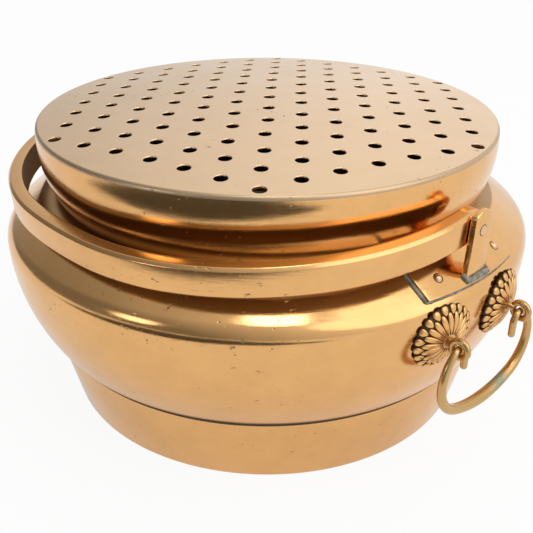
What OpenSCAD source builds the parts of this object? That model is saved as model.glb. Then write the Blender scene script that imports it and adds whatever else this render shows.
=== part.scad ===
// Round brass hand warmer: a bulging bowl on a foot ring, a pierced lid that lifts off,
// a swinging bail handle on two riveted lugs, and a drop ring with two rosettes on each side.
// Millimetres. +Z is up, the origin is the middle of the base, and the lugs stand on the X axis.

/* [Bowl] */
// Height of the flat rim round the mouth
rim_z = 97; // [94:0.5:100]
// Width of the flat rim outside the lid's foot
rim_w = 5.4; // [4:0.1:8]
// Level distance that the sloping shoulder covers
shoulder_run = 14.88; // [12:0.02:18]
// Slope of the shoulder, in degrees
shoulder_slope = 35.7; // [30:0.1:40]
// Radius of the tight turn from the shoulder into the belly
shoulder_arc = 9; // [7:0.5:11]
// Radius of the long curve from the belly's widest line down to the base
belly_arc = 80; // [72:1:95]
// Thickness of the bowl's wall and floor
wall = 1.8; // [1.2:0.1:2.4]
// Radius of the corner under the belly
corner_r = 5; // [4:0.5:7]

/* [Foot ring] */
// Height of the ring
foot_h = 32.4; // [28:0.2:36]
// Distance that the ring's upper lip stands out from the bowl's flat floor
foot_out = 2.44; // [2:0.02:3]
// Outward lean of the ring's wall, in degrees
foot_lean = 12.9; // [8:0.1:16]
// Thickness of the ring's wall
foot_wall = 2.4; // [1.6:0.1:3]
// Width of the ledge that the bowl's floor is soldered to
foot_ledge = 5.6; // [5:0.1:9]
// Rounding of the ring's upper lip
foot_lip_r = 0.9; // [0.4:0.1:1.1]

/* [Lid] */
// Outside radius of the lid at its widest
lid_r = 101.2; // [99:0.2:102.4]
// Height of the lid's widest line above the rim
lid_bulge = 24; // [18:0.5:26]
// Radius of the lid's curved side
lid_arc = 46.7; // [42:0.1:60]
// Height of the lid's crown above the rim
lid_h = 35.7; // [34:0.1:37]
// Rise of the top plate from its edge to its crown
lid_dome = 5.5; // [3:0.1:7]
// Thickness of the top plate
lid_plate_t = 1.6; // [1:0.1:2.4]
// Thickness of the lid's side
lid_wall = 1.7; // [1.2:0.1:2.4]
// Width of the ledge under the edge of the top plate
lid_ledge = 7.5; // [5:0.5:10]
// Diameter of the vent holes
hole_d = 5.2; // [3:0.1:7]
// Distance between neighbouring vent holes
hole_pitch = 16.1; // [14:0.1:16.2]
// Rows of vent holes out from the middle one
hole_rows = 6; // [3:1:6]
// Turn of the hole pattern about the upright axis, in degrees
hole_turn = 14.4; // [0:0.1:60]
// Sideways offset of the hand-marked hole pattern
hole_shift_x = 0.25; // [-1:0.05:1]
// Front to back offset of the hole pattern
hole_shift_y = 1.3; // [-1.5:0.05:1.5]

/* [Mouth collar] */
// Height of the collar above the rim
collar_h = 8; // [4:0.5:12]
// Depth of the collar below the rim
collar_depth = 8; // [4:0.5:14]
// Thickness of the collar
collar_t = 1.4; // [1:0.1:2]
// Slack between the lid and the collar
lid_slack = 0.4; // [0.3:0.05:1]

/* [Bail] */
// Width of the bail's strap
bail_w = 12.2; // [10:0.1:13]
// Thickness of the strap
bail_t = 6.2; // [5:0.1:7]
// Gap between the lid's widest line and the strap at its pivots
bail_gap = 4.2; // [3.8:0.1:5]
// Distance of each bend's centre from the bail's middle plane and from its pivot axis
bail_shift = 8.6; // [6:0.2:12]
// Outside radius of the flatter stretch between the bends
bail_mid_r = 200; // [150:5:400]
// Bevel along the strap's outer edges
bail_bevel = 1.2; // [0.4:0.1:1.6]
// Radius of the rounded end round each pivot
bail_end_r = 6.6; // [6.5:0.1:7.5]
// Height of the pivot axis above the rim
pivot_h = 10; // [9:0.1:12]
// Gap between the resting bail and the shoulder
bail_rest_gap = 0.35; // [0.3:0.05:1]

/* [Lugs] */
// Thickness of each upright lug
lug_t = 2.8; // [2.4:0.1:5]
// Width of a lug at its top
lug_top_w = 10.5; // [9:0.1:12]
// Width of a lug at its foot
lug_foot_w = 13.5; // [12:0.1:16]
// Height of a lug above the pivot axis
lug_rise = 8; // [6:0.1:9]
// Radius of the curve over a lug's top
lug_top_r = 7; // [6:0.1:10]
// Thickness of the plate under each lug
plate_t = 1.6; // [1:0.1:2]
// Half width of the plate
plate_half_w = 27; // [24:0.5:30]
// Distance of the plate's upper edge from the rim's edge
plate_in = 2.5; // [1:0.1:4]
// Height of the plate's lower edge above the belly's widest line
plate_low = 7; // [5:0.1:7.2]
// Cut across the plate's lower corners
plate_corner = 4; // [2:0.5:8]
// Diameter of the pivot rivet
pivot_d = 4; // [3:0.1:5]
// Diameter of the pivot rivet's inner head
pivot_head_d = 7; // [6:0.1:9]
// Thickness of the pivot rivet's inner head
pivot_head_t = 1.2; // [0.8:0.1:1.6]
// Radial slack of the bail on its rivet
pivot_slack = 0.06; // [0.02:0.01:0.1]
// Side gap between the bail and the lug, and between the bail and the rivet head
side_gap = 0.3; // [0.2:0.05:0.5]
// Diameter of the plate rivets
rivet_d = 2.2; // [1.6:0.1:3]
// Diameter of the plate rivets' heads
rivet_head_d = 3.6; // [3:0.1:5]
// Height of the plate rivets' domed heads
rivet_dome = 1.1; // [0.6:0.1:1.4]
// Thickness of the plate rivets' inner heads
rivet_foot_t = 0.8; // [0.5:0.1:1.2]
// Distance between the two rivets of a plate
rivet_spacing = 38; // [30:0.5:44]
// Level distance of the rivets from the foot of the shoulder's slope
rivet_in = 5.2; // [4:0.1:7]
// Offset of the hand-set pair of rivets along the plate
rivet_shift = 1.9; // [-2.5:0.1:2.5]

/* [Drop handles] */
// Radius of a rosette
rosette_r = 14; // [12:0.2:15]
// Distance of the rosettes' middles below the belly's widest line
rosette_drop = 7.5; // [6:0.5:12]
// Distance between a side's two rosettes
rosette_spacing = 37.4; // [34:0.2:42]
// Sideways offset of a side's hand-set handle
handle_shift = -2.6; // [-4:0.1:4]
// Rise of a rosette's domed middle above its edge
rosette_dome = 3.2; // [2:0.1:3.4]
// Number of petals in a rosette, with a bead between each two
petal_count = 20; // [16:1:22]
// Height of the petals above the disc
petal_rise = 1.2; // [0.8:0.1:1.6]
// Radius of each bead
bead_r = 1.7; // [1.4:0.1:1.9]
// Thickness of a rosette's disc
rosette_t = 0.8; // [0.6:0.1:1.2]
// Radius of the boss in a rosette's middle
boss_r = 3.2; // [2.6:0.1:3.6]
// Height of the boss above the disc
boss_rise = 0.3; // [0.1:0.05:0.4]
// Distance of the eyelet's hole from the belly
eyelet_reach = 9.2; // [9:0.1:10.5]
// Thickness of the eyelet's loop
eyelet_wire = 2.6; // [2:0.1:2.8]
// Diameter of the eyelet's shank
eyelet_shank_d = 3; // [2.4:0.1:3.6]
// Diameter of the eyelet's clinched end inside the bowl
clinch_d = 6; // [5:0.1:8]
// Thickness of the clinched end
clinch_t = 1; // [0.6:0.1:1.4]
// Slack of the drop ring in its eyelets
ring_slack = 0.6; // [0.5:0.05:0.7]
// Radius of the drop ring's two sides at the middle of the rod
ring_side_r = 16; // [15:0.1:18]
// Distance of each side curve's centre from the ring's middle
ring_spread = 12.4; // [11:0.1:13]
// Radius of the flatter curve along the ring's bottom
ring_low_r = 48; // [40:1:80]
// Thickness of the drop ring at the bottom
ring_d = 4.8; // [4:0.1:5]
// Thickness of the drop ring at its tips
ring_tip_d = 2.8; // [2.2:0.1:3]
// Radius of the turn over each eyelet
ring_hook_r = 4.2; // [3.6:0.1:4.8]
// Length of the straight tip behind each eyelet
ring_tip_l = 6; // [3:0.5:8]

/* [Hidden] */
$fn = 96;

brass = [0.80, 0.60, 0.33];
pale_brass = [0.86, 0.68, 0.42];
dark_brass = [0.55, 0.41, 0.22];

// Slack between fixed pieces that seat in one another
seat = 0.02;
// Longer than any piece, for cutting
far = 400;

// The lid's side and dome
lid_cx = lid_r - lid_arc;
lid_cz = rim_z + lid_bulge;
lid_top = rim_z + lid_h;
dome_r = (pow(lid_r, 2) + pow(lid_dome, 2)) / (2 * lid_dome);
dome_cz = lid_top - dome_r;
lid_foot_r = lid_cx + sqrt(pow(lid_arc, 2) - pow(lid_bulge, 2));
collar_r = lid_cx + sqrt(pow(lid_arc - lid_wall, 2) - pow(lid_bulge, 2)) - lid_slack;

// The shoulder slopes down from the rim and is tangent to the tight turn
rim_r = lid_foot_r + rim_w;
slope_x = rim_r + shoulder_run;
slope_z = rim_z - shoulder_run * tan(shoulder_slope);
turn_x = slope_x - shoulder_arc * sin(shoulder_slope);
belly_z = slope_z - shoulder_arc * cos(shoulder_slope);
belly_r = turn_x + shoulder_arc;
function slope_start(inset) = [slope_x - inset * sin(shoulder_slope), slope_z - inset * cos(shoulder_slope)];
function slope_end(inset) =
  slope_start(inset)[0] - (rim_z - inset - slope_start(inset)[1]) / tan(shoulder_slope);
function shoulder_z(r) = slope_z + (slope_x - r) * tan(shoulder_slope);

// The belly's long curve and the corner under it are tangent circles
belly_cx = belly_r - belly_arc;
corner_z = foot_h + corner_r;
corner_dx = sqrt(pow(belly_arc - corner_r, 2) - pow(belly_z - corner_z, 2));
corner_x = belly_cx + corner_dx;
function belly_at(z) = belly_cx + sqrt(pow(belly_arc, 2) - pow(belly_z - z, 2));

// The foot ring, from the bowl's floor down
foot_top_r = corner_x + foot_out;
foot_r = foot_top_r - foot_h * tan(foot_lean);

// The bail
pivot_z = rim_z + pivot_h;
bail_x = lid_r + bail_gap + bail_t;
bail_bend_r = bail_x - bail_shift;
mid_cy = sqrt(pow(bail_mid_r - bail_bend_r, 2) - pow(bail_shift, 2)) - bail_shift;
mid_half = asin(bail_shift / (bail_mid_r - bail_bend_r));
bail_reach = bail_mid_r - mid_cy - bail_t;
// Lap of the strap's stretches into one another
strap_lap = 1;
lap_turn = asin(strap_lap / bail_mid_r);

// The bail hangs until its inner lower edge is the rest gap away from the shoulder
rest_a = bail_reach * tan(shoulder_slope) - bail_w / 2;
rest_b = bail_reach + bail_w / 2 * tan(shoulder_slope);
rest_c = bail_rest_gap / cos(shoulder_slope) + shoulder_z(0) - pivot_z;
droop = acos(rest_c / norm([rest_a, rest_b])) - atan2(rest_b, rest_a);

// The lugs, outside the bail's ends
lug_x = bail_x + side_gap;
plate_top_r = rim_r + plate_in;
rivet_r = slope_x - rivet_in;
rivet_turn = asin(rivet_spacing / 2 / rivet_r);
rivet_offset = asin(rivet_shift / rivet_r);

// The drop handles
rosette_z = belly_z - rosette_drop;
rosette_rad = belly_at(rosette_z);
rosette_turn = asin(rosette_spacing / 2 / rosette_rad);
rosette_tilt = asin(rosette_drop / belly_arc);
rosette_curve = rosette_rad / cos(rosette_tilt);
handle_turn = asin(handle_shift / rosette_rad);
bead_ring = rosette_r - bead_r;
petal_tip = bead_ring - bead_r / 2;
// Space for solder between a rosette's back and the belly
rosette_gap = 0.05;
eyelet_r = ring_tip_d / 2 + ring_slack + eyelet_wire / 2;
eye_rad = rosette_rad + eyelet_reach * cos(rosette_tilt);
eye = [
  eye_rad * cos(rosette_turn),
  eye_rad * sin(rosette_turn),
  rosette_z - eyelet_reach * sin(rosette_tilt)
];
clinch_gap = pow(clinch_d / 2, 2) / (2 * (belly_arc - wall)) + seat;
hook_z = eye[2] - ring_hook_r;
side_rise = sqrt(pow(ring_side_r - ring_hook_r, 2) - pow(eye[1] - ring_spread, 2));
side_z = hook_z - side_rise;
side_start = atan2(side_rise, eye[1] - ring_spread);
low_turn = asin(ring_spread / (ring_low_r - ring_side_r));
low_z = side_z + (ring_low_r - ring_side_r) * cos(low_turn);

// Outline of the bowl's body from the axis outwards, drawn in by the inset
module bowl_outline(inset) {
  low_z = foot_h + inset;
  ray = [corner_dx, corner_z - belly_z];
  intersection() {
    translate([belly_cx, belly_z]) circle(belly_arc - inset);
    polygon([[belly_cx, belly_z], [belly_cx, belly_z] + 2 * ray, [far, belly_z]]);
  }
  translate([corner_x, corner_z]) circle(corner_r - inset);
  translate([0, low_z]) square([corner_x, belly_z - low_z]);
  shoulder_outline(inset);
}

// Outline of the bowl's upper part, which laps into the part below the belly's widest line
module shoulder_outline(inset) {
  lap_z = belly_z - shoulder_arc / 2;
  translate([turn_x, belly_z]) circle(shoulder_arc - inset);
  polygon([
    [0, lap_z], [turn_x, lap_z], [turn_x, belly_z], slope_start(inset),
    [slope_end(inset), rim_z - inset], [0, rim_z - inset]
  ]);
}

// The bowl's outside as a solid, grown by the given amount, for seating pieces on it
module bowl_solid(grow = 0) {
  rotate_extrude() bowl_outline(-grow);
}

// Places a child on each of a side's two rivet axes, +Z out of the shoulder
module at_rivets() {
  for (turn = [-rivet_turn, rivet_turn])
    rotate([0, 0, turn + rivet_offset]) translate([rivet_r, 0, shoulder_z(rivet_r)])
      rotate([0, shoulder_slope, 0]) children();
}

// Places a child on a rosette axis of the right side, +Z out of the belly
module at_rosette(turn) {
  rotate([0, 0, turn + handle_turn]) translate([rosette_rad, 0, rosette_z])
    rotate([0, 90 + rosette_tilt, 0]) children();
}

// Copies a right-hand piece to the left side
module left_side() {
  rotate([0, 0, 180]) children();
}

// Holes that the handles' shanks and the plates' rivets need on one side of the bowl
module bowl_holes() {
  depth = 4 * wall;
  for (turn = [-rosette_turn, rosette_turn])
    at_rosette(turn) cylinder(d = eyelet_shank_d + 2 * seat, h = 2 * depth, center = true);
  at_rivets() cylinder(d = rivet_d + 2 * seat, h = 2 * depth, center = true);
}

module bowl() {
  color(brass) difference() {
    rotate_extrude() difference() {
      bowl_outline(0);
      bowl_outline(wall);
    }
    translate([0, 0, rim_z - 2 * wall]) cylinder(r = collar_r + seat, h = 3 * wall);
    bowl_holes();
    left_side() bowl_holes();
  }
}

// Leaning band with a rounded upper lip and a ledge under the bowl's floor
module foot_ring() {
  lean = tan(foot_lean);
  lip_z = foot_h - foot_lip_r;
  lip_x = foot_r + lip_z * lean - foot_lip_r / cos(foot_lean);
  color(brass) rotate_extrude() union() {
    translate([lip_x, lip_z]) circle(foot_lip_r);
    polygon([
      [foot_r, 0],
      [lip_x + foot_lip_r * cos(foot_lean), lip_z - foot_lip_r * sin(foot_lean)],
      [lip_x, lip_z],
      [lip_x, foot_h],
      [foot_top_r - foot_ledge, foot_h],
      [foot_top_r - foot_ledge, foot_h - foot_wall],
      [foot_r - foot_wall + (foot_h - foot_wall) * lean, foot_h - foot_wall],
      [foot_r - foot_wall, 0]
    ]);
  }
}

module mouth_collar() {
  color(dark_brass) rotate_extrude()
    translate([collar_r - collar_t, rim_z - collar_depth]) square([collar_t, collar_depth + collar_h]);
}

// Outline of the lid's bulging side, drawn in by the inset
module lid_side(inset) {
  intersection() {
    translate([lid_cx, lid_cz]) circle(lid_arc - inset);
    translate([lid_cx, 0]) square(far);
  }
  square([lid_cx, far]);
}

// Outline under the lid's dome, drawn in by the inset
module under_dome(inset) {
  intersection() {
    translate([0, dome_cz]) circle(dome_r - inset, $fn = 720);
    translate([0, rim_z]) square(far);
  }
}

// Hexagonal rows of holes
module vent_holes() {
  rows = hole_rows;
  reach = (rows + 0.01) * hole_pitch;
  translate([hole_shift_x, hole_shift_y, 0]) rotate([0, 0, hole_turn])
    for (i = [-rows : rows])
      for (j = [-rows : rows]) {
        spot = hole_pitch * [i + j / 2, j * sqrt(3) / 2];
        if (norm(spot) < reach) translate(spot) cylinder(d = hole_d, h = far, $fn = 24);
      }
}

// Domed disc with the vent holes
module lid_plate() {
  color(pale_brass) difference() {
    rotate_extrude() intersection() {
      lid_side(0);
      difference() {
        under_dome(0);
        under_dome(lid_plate_t);
      }
    }
    vent_holes();
  }
}

// Curved side of the lid, turned in to a ledge under the top plate
module lid_skirt() {
  color(brass) rotate_extrude() difference() {
    intersection() {
      under_dome(lid_plate_t);
      lid_side(0);
    }
    intersection() {
      under_dome(lid_plate_t + lid_wall);
      lid_side(lid_wall);
    }
    translate([0, lid_cz]) square([lid_r - lid_ledge, far]);
  }
}

// Section of the bail's strap, outer face at the given radius
module strap_section(r, thin = 0) {
  half = bail_w / 2 - thin;
  outer = r - thin;
  inner = r - bail_t + thin;
  polygon([
    [inner, -half], [outer - bail_bevel, -half], [outer, bail_bevel - half],
    [outer, half - bail_bevel], [outer - bail_bevel, half], [inner, half]
  ]);
}

// One bend of the bail with its straight end and the rounded end round the pivot
module bail_half() {
  bend = 90 - mid_half;
  translate([bail_shift, -bail_shift, 0]) rotate([0, 0, -bend])
    rotate_extrude(angle = bend) strap_section(bail_bend_r);
  rotate([90, 0, 0]) linear_extrude(bail_shift + strap_lap) strap_section(bail_x, seat);
  translate([bail_x - bail_t, 0, 0]) rotate([0, 90, 0]) cylinder(r = bail_end_r, h = bail_t);
}

module bail() {
  color(brass) translate([0, 0, pivot_z]) rotate([droop, 0, 0]) difference() {
    union() {
      bail_half();
      mirror([1, 0, 0]) bail_half();
      translate([0, mid_cy, 0]) rotate([0, 0, -90 - mid_half - lap_turn])
        rotate_extrude(angle = 2 * (mid_half + lap_turn)) strap_section(bail_mid_r, seat);
    }
    rotate([0, 90, 0]) cylinder(d = pivot_d + 2 * pivot_slack, h = far, center = true);
  }
}

// Plate bent over the shoulder under a lug
module lug_plate() {
  edge_x = belly_r + plate_t;
  color(brass) difference() {
    intersection() {
      rotate_extrude() intersection() {
        difference() {
          shoulder_outline(-plate_t);
          shoulder_outline(0);
        }
        translate([plate_top_r, belly_z + plate_low]) square(far);
      }
      translate([0, 0, belly_z]) linear_extrude(far) polygon([
        [0, -plate_half_w],
        [edge_x - 2 * plate_corner, -plate_half_w],
        [edge_x, plate_corner - plate_half_w],
        [edge_x, plate_half_w - plate_corner],
        [edge_x - 2 * plate_corner, plate_half_w],
        [0, plate_half_w]
      ]);
    }
    at_rivets() cylinder(d = rivet_d + 2 * seat, h = 8 * wall, center = true);
  }
}

// Upright tab on the plate, with a curved top and the pivot hole
module lug() {
  top_z = pivot_z + lug_rise;
  color(pale_brass) difference() {
    translate([lug_x, 0, 0]) rotate([90, 0, 90]) linear_extrude(lug_t) intersection() {
      polygon([
        [-lug_foot_w / 2, belly_z], [lug_foot_w / 2, belly_z],
        [lug_top_w / 2, top_z], [-lug_top_w / 2, top_z]
      ]);
      union() {
        translate([0, top_z - lug_top_r]) circle(lug_top_r);
        translate([-far / 2, 0]) square([far, top_z - lug_top_r]);
      }
    }
    bowl_solid(plate_t + seat);
    translate([0, 0, pivot_z]) rotate([0, 90, 0]) cylinder(d = pivot_d + 2 * seat, h = far);
  }
}

// Headed pin that carries one end of the bail and is clinched in the lug
module pivot_rivet() {
  head_x = bail_x - bail_t - side_gap;
  end_x = lug_x + lug_t;
  color(pale_brass) translate([0, 0, pivot_z]) rotate([0, 90, 0]) {
    translate([0, 0, head_x]) cylinder(d = pivot_d, h = end_x - head_x);
    translate([0, 0, head_x - pivot_head_t]) cylinder(d = pivot_head_d, h = pivot_head_t);
  }
}

// Two rivets that hold the plate, domed outside and flat inside the bowl
module plate_rivets() {
  dome_r = (pow(rivet_head_d / 2, 2) + pow(rivet_dome, 2)) / (2 * rivet_dome);
  face = plate_t + seat;
  foot = wall + 2 * seat;
  color(pale_brass) at_rivets() {
    intersection() {
      translate([0, 0, face + rivet_dome - dome_r]) sphere(dome_r);
      translate([-rivet_head_d, -rivet_head_d, face]) cube(2 * rivet_head_d);
    }
    translate([0, 0, -foot]) cylinder(d = rivet_d, h = foot + face);
    translate([0, 0, -foot - rivet_foot_t]) cylinder(d = rivet_head_d, h = rivet_foot_t);
  }
}

// Height of a petal above the disc, by radius and by place across its share of the circle
function petal_height(r, across) =
  petal_rise * arch(1.94 * across) * arch(max(0, r - petal_tip + petal_rise) / petal_rise);

// Height of a bead above the disc; the beads stand between the petals' tips
function bead_height(r, across) =
  bead_r * arch(norm([(0.5 - abs(across)) * 2 * PI * r / petal_count, r - bead_ring]) / bead_r);

function arch(x) = sqrt(max(0, 1 - x * x));

// Thickness of the rosette over the belly
function rosette_height(r, across) =
  rosette_t + rosette_dome * (1 - pow(r / rosette_r, 2))
  + (r > boss_r ? max(petal_height(r, across), bead_height(r, across)) : boss_rise);

// Drop of the belly below the plane that touches it at the rosette's middle
function belly_drop(x, y) =
  sqrt(pow(belly_arc, 2) - x * x) - belly_arc + sqrt(pow(rosette_curve, 2) - y * y) - rosette_curve;

// Chrysanthemum: a bored and domed disc on the belly with long petals and a row of beads in relief
module rosette(turn) {
  across_steps = 4;
  spokes = across_steps * petal_count;
  bore_r = (eyelet_shank_d / 2 + seat) / cos(180 / spokes);
  front = [
    bore_r, boss_r, boss_r + petal_rise / 4, (boss_r + petal_tip) / 2,
    petal_tip - petal_rise, petal_tip - petal_rise / 3, petal_tip,
    bead_ring - bead_r / 2, bead_ring, bead_ring + bead_r / 2, rosette_r
  ];
  back = [for (i = [3 : -1 : 0]) bore_r + (rosette_r - bore_r) * i / 3];
  rows = len(front) + len(back);
  function spot(r, k, h) =
    let (x = r * cos(360 * k / spokes), y = r * sin(360 * k / spokes))
    [x, y, belly_drop(x, y) + rosette_gap + h];
  function across(k) = ((k + across_steps / 2) % across_steps) / across_steps - 0.5;
  points = [
    for (r = front) for (k = [0 : spokes - 1]) spot(r, k, rosette_height(r, across(k))),
    for (r = back) for (k = [0 : spokes - 1]) spot(r, k, 0)
  ];
  skin = [
    for (i = [0 : rows - 1]) for (k = [0 : spokes - 1])
      let (
        j = (i + 1) % rows,
        a = i * spokes + k,
        b = i * spokes + (k + 1) % spokes,
        c = j * spokes + (k + 1) % spokes,
        d = j * spokes + k
      )
      each [[a, b, c], [a, c, d]]
  ];
  color(dark_brass) at_rosette(turn) polyhedron(points, skin);
}

// Loop on a shank that goes through the rosette and the wall and is clinched inside
module eyelet(side) {
  foot = wall + clinch_gap;
  neck = eyelet_reach - eyelet_r;
  color(pale_brass) {
    rotate([0, 0, handle_turn]) translate([eye[0], side * eye[1], eye[2]]) rotate([90, 0, 0])
      rotate_extrude() translate([eyelet_r, 0]) circle(d = eyelet_wire, $fn = 48);
    at_rosette(side * rosette_turn) translate([0, 0, -foot - clinch_t]) {
      cylinder(d = eyelet_shank_d, h = foot + clinch_t + neck);
      cylinder(d = clinch_d, h = clinch_t);
    }
  }
}

// Path of the drop ring's rod in its own plane, as [sideways, up], from tip to tip
hook_steps = 8;
side_steps = 10;
low_steps = 4;
ring_steps = side_steps + low_steps;
half_path = concat(
  [[eye[1] - ring_hook_r, hook_z - ring_tip_l]],
  [for (i = [0 : hook_steps])
    let (a = 180 + (side_start - 180) * i / hook_steps)
    [eye[1] + ring_hook_r * cos(a), hook_z + ring_hook_r * sin(a)]],
  [for (i = [1 : side_steps])
    let (a = side_start - (side_start + 90 - low_turn) * i / side_steps)
    [ring_spread + ring_side_r * cos(a), side_z + ring_side_r * sin(a)]],
  [for (i = [1 : low_steps])
    let (a = low_turn * (1 - i / low_steps))
    [ring_low_r * sin(a), low_z - ring_low_r * cos(a)]]
);
half_count = len(half_path);
ring_path = concat(half_path, [for (i = [half_count - 2 : -1 : 0]) [-half_path[i][0], half_path[i][1]]]);

// Rod that follows the path and thins towards its tips
module drop_ring() {
  sides = 12;
  count = len(ring_path);
  last = count - 1;
  function along(i) = ring_path[min(i + 1, last)] - ring_path[max(i - 1, 0)];
  function rod_r(i) =
    let (swell = max(0, min(i, last - i) - hook_steps - 1) / ring_steps)
    (ring_tip_d + (ring_d - ring_tip_d) * swell) / 2;
  function ring_point(i, k) =
    let (d = along(i) / norm(along(i)), a = 360 * k / sides, r = rod_r(i))
    [
      eye[0] + r * sin(a),
      ring_path[i][0] + r * cos(a) * d[1],
      ring_path[i][1] - r * cos(a) * d[0]
    ];
  points = [for (i = [0 : last]) for (k = [0 : sides - 1]) ring_point(i, k)];
  skin = [
    for (i = [0 : last - 1]) for (k = [0 : sides - 1])
      let (a = i * sides + k, b = i * sides + (k + 1) % sides)
      each [[a, b + sides, b], [a, a + sides, b + sides]]
  ];
  start_cap = [for (k = [0 : sides - 1]) k];
  end_cap = [for (k = [sides - 1 : -1 : 0]) last * sides + k];
  color(dark_brass) rotate([0, 0, handle_turn]) polyhedron(points, concat(skin, [start_cap], [end_cap]));
}

bowl();
foot_ring();
mouth_collar();
lid_plate();
lid_skirt();
bail();
lug_plate();  // lug_plate_right
left_side() lug_plate();  // lug_plate_left
lug();  // lug_right
left_side() lug();  // lug_left
pivot_rivet();  // pivot_rivet_right
left_side() pivot_rivet();  // pivot_rivet_left
plate_rivets();  // plate_rivets_right
left_side() plate_rivets();  // plate_rivets_left
rosette(-rosette_turn);  // rosette_right_front
rosette(rosette_turn);  // rosette_right_back
left_side() rosette(rosette_turn);  // rosette_left_front
left_side() rosette(-rosette_turn);  // rosette_left_back
eyelet(-1);  // eyelet_right_front
eyelet(1);  // eyelet_right_back
left_side() eyelet(1);  // eyelet_left_front
left_side() eyelet(-1);  // eyelet_left_back
drop_ring();  // drop_ring_right
left_side() drop_ring();  // drop_ring_left
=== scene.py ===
import math
import random
from types import SimpleNamespace

import bmesh
import bpy
from bpy.props import FloatProperty, FloatVectorProperty, IntProperty, PointerProperty
from bpy.types import Operator, Panel, PropertyGroup
from mathutils import Matrix, Vector


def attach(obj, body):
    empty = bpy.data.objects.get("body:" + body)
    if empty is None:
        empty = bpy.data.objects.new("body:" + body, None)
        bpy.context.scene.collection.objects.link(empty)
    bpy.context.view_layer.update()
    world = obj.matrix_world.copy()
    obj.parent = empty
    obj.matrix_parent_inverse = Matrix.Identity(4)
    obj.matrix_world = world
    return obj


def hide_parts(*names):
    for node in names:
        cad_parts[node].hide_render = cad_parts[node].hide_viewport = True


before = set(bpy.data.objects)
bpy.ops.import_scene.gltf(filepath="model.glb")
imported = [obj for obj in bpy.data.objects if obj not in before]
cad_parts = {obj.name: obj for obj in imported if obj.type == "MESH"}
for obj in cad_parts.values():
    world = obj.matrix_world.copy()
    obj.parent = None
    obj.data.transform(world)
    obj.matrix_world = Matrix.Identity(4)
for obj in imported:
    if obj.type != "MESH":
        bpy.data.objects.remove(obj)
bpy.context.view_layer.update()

bl_info = {
    "name": "Brass Hand Warmer",
    "version": (1, 0, 0),
    "blender": (4, 5, 0),
    "location": "3D View > Sidebar > Warmer",
    "description": "Builds a round brass hand warmer with a pierced lid, a bail and two drop handles",
    "category": "Add Mesh",
}


def length(name, text, millimetres):
    """A length setting, given in millimetres and kept in metres."""
    return FloatProperty(name=name, description=text, default=millimetres / 1000, unit="LENGTH", precision=5)


def degrees(name, text, value):
    """An angle setting, given in degrees and kept in radians."""
    return FloatProperty(name=name, description=text, default=math.radians(value), subtype="ANGLE")


def share(name, text, value):
    """A setting from 0 to 1."""
    return FloatProperty(name=name, description=text, default=value, min=0, max=1, subtype="FACTOR")


def tint(name, text, value):
    """A colour setting."""
    return FloatVectorProperty(name=name, description=text, default=value, size=3, min=0, max=1, subtype="COLOR")


class WarmerBody(PropertyGroup):
    """Sizes of the bowl and the foot ring"""

    belly_r: length("Belly radius", "Outside radius of the belly at its widest", 118.6)
    belly_z: length("Belly height", "Height of the belly's widest line", 79)
    belly_arc: length("Belly curve", "Radius of the curve below the widest line", 80)
    shoulder_arc: length("Shoulder turn", "Radius of the turn into the shoulder", 9)
    shoulder_slope: degrees("Shoulder slope", "Slope of the shoulder", 35.7)
    rim_z: length("Rim height", "Height of the flat rim round the mouth", 97)
    wall: length("Wall", "Thickness of the bowl", 1.8)
    corner_r: length("Corner", "Radius of the corner under the belly", 5)
    foot_r: length("Foot radius", "Outside radius of the foot ring where it stands", 96.01)
    foot_h: length("Foot height", "Height of the foot ring", 32.4)
    foot_lean: degrees("Foot lean", "Outward lean of the foot ring", 12.9)
    foot_wall: length("Foot wall", "Thickness of the foot ring", 2.4)
    foot_ledge: length("Foot ledge", "Width of the ledge under the bowl", 5.6)
    turns: IntProperty(name="Steps", description="Steps round each turned piece", default=240, min=48)


class WarmerLid(PropertyGroup):
    """Sizes of the lid and the mouth collar"""

    lid_r: length("Lid radius", "Outside radius of the lid at its widest", 101.2)
    bulge: length("Lid bulge", "Height of the lid's widest line above the rim", 24)
    arc: length("Lid curve", "Radius of the lid's curved side", 46.7)
    height: length("Lid height", "Height of the crown above the rim", 35.7)
    dome: length("Dome", "Rise of the top plate to its crown", 5.5)
    plate_t: length("Plate", "Thickness of the top plate", 1.6)
    wall: length("Side", "Thickness of the lid's side", 1.7)
    ledge: length("Ledge", "Width of the ledge under the top plate", 7.5)
    edge_r: length("Edge", "Rounding of the lid's upper edge", 1.4)
    hole_d: length("Hole", "Diameter of the vent holes", 5.2)
    hole_lip: length("Hole lip", "Rounding of the vent holes' edges", 0.3)
    hole_pitch: length("Pitch", "Distance between neighbouring vent holes", 16.1)
    hole_rows: IntProperty(name="Rows", description="Rows of holes out from the middle one", default=6, min=1)
    hole_turn: degrees("Turn", "Turn of the hole pattern", 14.4)
    hole_shift_x: length("Shift X", "Sideways offset of the hole pattern", 0.25)
    hole_shift_y: length("Shift Y", "Front to back offset of the hole pattern", 1.3)
    hole_stray: length("Stray", "How far a hand-drilled hole strays from its place", 0.3)
    collar_h: length("Collar height", "Height of the collar above the rim", 8)
    collar_depth: length("Collar depth", "Depth of the collar below the rim", 8)
    collar_t: length("Collar", "Thickness of the collar", 1.4)
    slack: length("Slack", "Slack between the lid and the collar", 0.4)


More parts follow.
